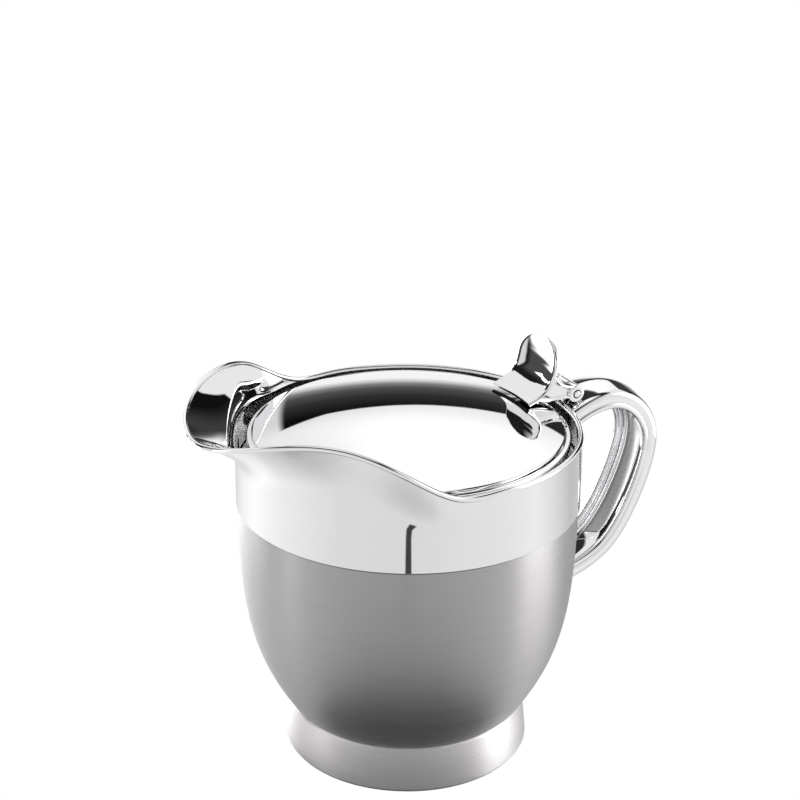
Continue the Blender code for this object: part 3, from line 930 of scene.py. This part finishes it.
def build_world(scene):
    """Soft light all round, with the dark gaps between the boxes that steel can mirror.

    Angles are in degrees: aside counts to the right from straight behind the jug, and height
    counts up from the horizon.
    """
    world = bpy.data.worlds.new("studio")
    scene.world = world
    world.use_nodes = True
    tree = world.node_tree
    nodes = Nodes(tree)
    x, y, up = nodes.parts(nodes.wire(nodes.add("ShaderNodeTexCoord"), "Generated"))
    _, _, aside = directions(nodes, scene.jug_stage, x, y)
    height = up.math("ARCSINE", up) * DEGREES

    # The gap behind the jug: crisp at its ends and top, pale near the table, black at the right.
    shades_end = 25
    shades = nodes.wire(nodes.add("ShaderNodeValToRGB", Fac=height / shades_end))
    set_ramp(shades, ((0.10, 1.0), (0.2, 0.62), (0.28, 0.25), (0.4, 0.085), (0.6, 0.032),
                      (0.8, 0.012), (0.88, 0.004)))
    to_right = aside.fade(12, 24)
    black = 0.05 - 0.044 * aside.fade(24, 42)
    inside = shades * (1 - to_right) + black * to_right
    top = 20.9 - 0.13 * aside.least(12) + 0.35 * (-9 - aside).most(0) + 7 * to_right
    left_end = -7.8 - 0.28 * height.most(0)
    right_end = 45 + 0.35 * height.most(0) + 0.8 * height.least(0)
    top_blur, left_blur, right_blur = 0.3, 0.5, 0.7
    gap = (height - top).drop(-top_blur, top_blur) * (aside - left_end).fade(-left_blur, left_blur)
    gap = gap * (aside - right_end).drop(-right_blur, right_blur) * height.fade(-22, -20)

    # On the left: a black flag with a white slit low in it, and a grey side farther round.
    flag_middle, slit_middle, slit_height = -65.5, -61.5, 11
    flag = aside.near(flag_middle, 12.5, 14.5) * height.fade(-12, -8) * height.drop(36, 37.5)
    slit = height.near(slit_height, 2, 3) * aside.near(slit_middle, 4, 6)
    grey_side = aside.fade(-100, -92) * aside.drop(-78, -74) * height.drop(12, 30)

    # The sky is brightest above the gap and dimmer low on its left.
    sky = 0.93 + 0.35 * aside.near(6, 4, 26) * height.fade(18, 34)
    sky = sky - 0.2 * aside.fade(-60, -30) * aside.drop(-20, 5) * height.drop(20, 28)

    # A long box stands on either side of the jug.
    right_gain, left_gain = 3.4, 4.2
    right_box = aside.near(88, 9, 20) * height.drop(20, 45)
    left_box = aside.fade(-112, -84) * aside.drop(-27, -19) * height.drop(10, 24)

    # Behind the camera the room is dim, and darker higher up; a dark ring runs under the ceiling.
    room = abs(aside).fade(88, 160) * height.drop(60, 75) * height.fade(-10, 0)
    ring = height.fade(54, 58) * height.drop(68, 73)

    tone = sky + right_gain * right_box + left_gain * left_box
    tone = tone * (1 - 0.85 * grey_side) * (1 - (0.22 + 0.74 * height.fade(32, 42)) * room)
    tone = tone * (1 - flag * (1 - slit) * 0.985)
    tone = tone * (1 - 0.97 * ring)
    tone = tone * (1 - gap) + inside * gap
    camera = nodes.wire(nodes.add("ShaderNodeLightPath"), "Is Camera Ray")
    tone = tone * (1 - camera) + camera
    tree.links.new(tone.socket, tree.nodes["Background"].inputs["Color"])


def set_ramp(wire, stops):
    """Give a ramp its stops as (place, brightness)."""
    ramp = wire.socket.node.color_ramp
    ramp.elements[0].position, ramp.elements[1].position = stops[0][0], stops[-1][0]
    for place, _ in stops[1:-1]:
        ramp.elements.new(place)
    for element, (_, tone) in zip(ramp.elements, stops):
        element.color = (tone, tone, tone, 1)


def build_floor(scene):
    """A table with its own glow, with painted light by direction and a painted shadow dark under
    the jug, that the camera sees as plain white.
    """
    floor_radius, floor_drop = 250 * MM, 0.05 * MM
    start_fresh()
    bpy.ops.mesh.primitive_circle_add(vertices=96, radius=floor_radius, fill_type="NGON",
                                      location=AXIS - Vector((0, 0, floor_drop)))
    floor = bpy.context.object
    floor.name = "floor"
    material = bpy.data.materials.new("pale_floor")
    material.use_nodes = True
    tree = material.node_tree
    nodes = Nodes(tree)
    shader = tree.nodes["Principled BSDF"]
    shader.inputs["Base Color"].default_value = (0.05, 0.05, 0.05, 1)
    shader.inputs["Roughness"].default_value = 0.8
    shader.inputs["Specular IOR Level"].default_value = 0.0
    shader.inputs["Emission Strength"].default_value = 1.0
    x, y, _ = nodes.parts(nodes.wire(nodes.add("ShaderNodeTexCoord"), "Object"))
    ahead, right, aside = directions(nodes, scene.jug_stage, x / MM, y / MM)
    away = (ahead * ahead + right * right) ** 0.5

    # Painted light by direction: the ramp starts and ends straight towards the camera.
    around = nodes.wire(nodes.add("ShaderNodeValToRGB", Fac=aside / 360 + 0.5))
    set_ramp(around, ((0.0, 0.76), (0.11, 0.78), (0.22, 0.94), (0.305, 1.12), (0.35, 1.0),
                      (0.41, 0.72), (0.59, 0.6), (0.66, 0.56), (0.72, 0.8), (0.77, 0.94),
                      (0.83, 0.86), (1.0, 0.76)))

    # A painted shadow of the jug lies close in behind it and reaches farther out towards the
    # camera.
    clear = away + 34 * abs(aside).drop(105, 150) - 12 * abs(aside).fade(142, 166)
    lit = 0.03 + 0.67 * clear.fade(46, 82) + 0.3 * clear.fade(75, 125)

    # A narrow dark strip runs towards the camera, well in front of the jug.
    strip = right.near(2, 4, 7) * ahead.drop(-160, -147)
    glow = around * lit * (1 - 0.97 * strip)
    tree.links.new(glow.socket, shader.inputs["Emission Color"])
    white = nodes.add("ShaderNodeEmission", Strength=1.0)
    camera = nodes.wire(nodes.add("ShaderNodeLightPath"), "Is Camera Ray")
    choice = tree.nodes.new("ShaderNodeMixShader")
    tree.links.new(camera.socket, choice.inputs[0])
    tree.links.new(shader.outputs[0], choice.inputs[1])
    tree.links.new(white.outputs[0], choice.inputs[2])
    tree.links.new(choice.outputs[0], tree.nodes["Material Output"].inputs["Surface"])
    floor.data.materials.append(material)


def place_camera(scene, stage):
    """Stand the camera off the jug's axis and tilt it as set."""
    back = Vector((math.sin(stage.azimuth) * math.cos(stage.pitch),
                   -math.cos(stage.azimuth) * math.cos(stage.pitch), math.sin(stage.pitch)))
    turn = stage.azimuth + stage.heading
    look = -Vector((math.sin(turn) * math.cos(stage.pitch),
                    -math.cos(turn) * math.cos(stage.pitch), math.sin(stage.pitch)))
    data = bpy.data.cameras.new("camera")
    camera = bpy.data.objects.new("camera", data)
    scene.collection.objects.link(camera)
    camera.location = AXIS + Vector((0, 0, stage.aim_height)) + back * stage.distance
    camera.rotation_mode = "QUATERNION"
    camera.rotation_quaternion = look.to_track_quat("-Z", "Y") @ Quaternion((0, 0, 1), stage.roll)
    data.lens = stage.lens
    data.sensor_width = 36
    data.clip_start = 0.01
    scene.camera = camera


class JUG_OT_stage(bpy.types.Operator):
    """Set up the floor, the surroundings and the camera."""
    bl_idname = "cream_jug.stage"
    bl_label = "Stage"

    def execute(self, context):
        scene = context.scene
        build_world(scene)
        build_floor(scene)
        place_camera(scene, scene.jug_stage)
        scene.view_settings.view_transform = "Standard"
        return {"FINISHED"}


PIECES = (JUG_OT_foot, JUG_OT_bowl, JUG_OT_vessel, JUG_OT_collar, JUG_OT_handle, JUG_OT_lid,
          JUG_OT_lever, JUG_OT_hinge, JUG_OT_inner_parts, JUG_OT_stage)


class JUG_PT_panel(bpy.types.Panel):
    """Lists the jug's pieces and their settings."""
    bl_idname = "JUG_PT_panel"
    bl_label = "Cream jug"
    bl_space_type = "VIEW_3D"
    bl_region_type = "UI"
    bl_category = "Cream jug"

    def draw(self, context):
        column = self.layout.column()
        for piece in PIECES:
            column.operator(piece.bl_idname)
        for group in (context.scene.jug_sizes, context.scene.jug_finish, context.scene.jug_stage):
            for key in type(group).__annotations__:
                column.prop(group, key)


GROUPS = {"jug_sizes": JugSizes, "jug_finish": JugFinish, "jug_stage": JugStage}


def register():
    for group in (*GROUPS.values(), *PIECES, JUG_PT_panel):
        bpy.utils.register_class(group)
    for name, group in GROUPS.items():
        setattr(bpy.types.Scene, name, bpy.props.PointerProperty(type=group))


def unregister():
    for name in GROUPS:
        delattr(bpy.types.Scene, name)
    for group in reversed((*GROUPS.values(), *PIECES, JUG_PT_panel)):
        bpy.utils.unregister_class(group)


def main():
    register()
    for piece in PIECES:
        group, name = piece.bl_idname.split(".")
        getattr(getattr(bpy.ops, group), name)()


if __name__ == "__main__":
    main()
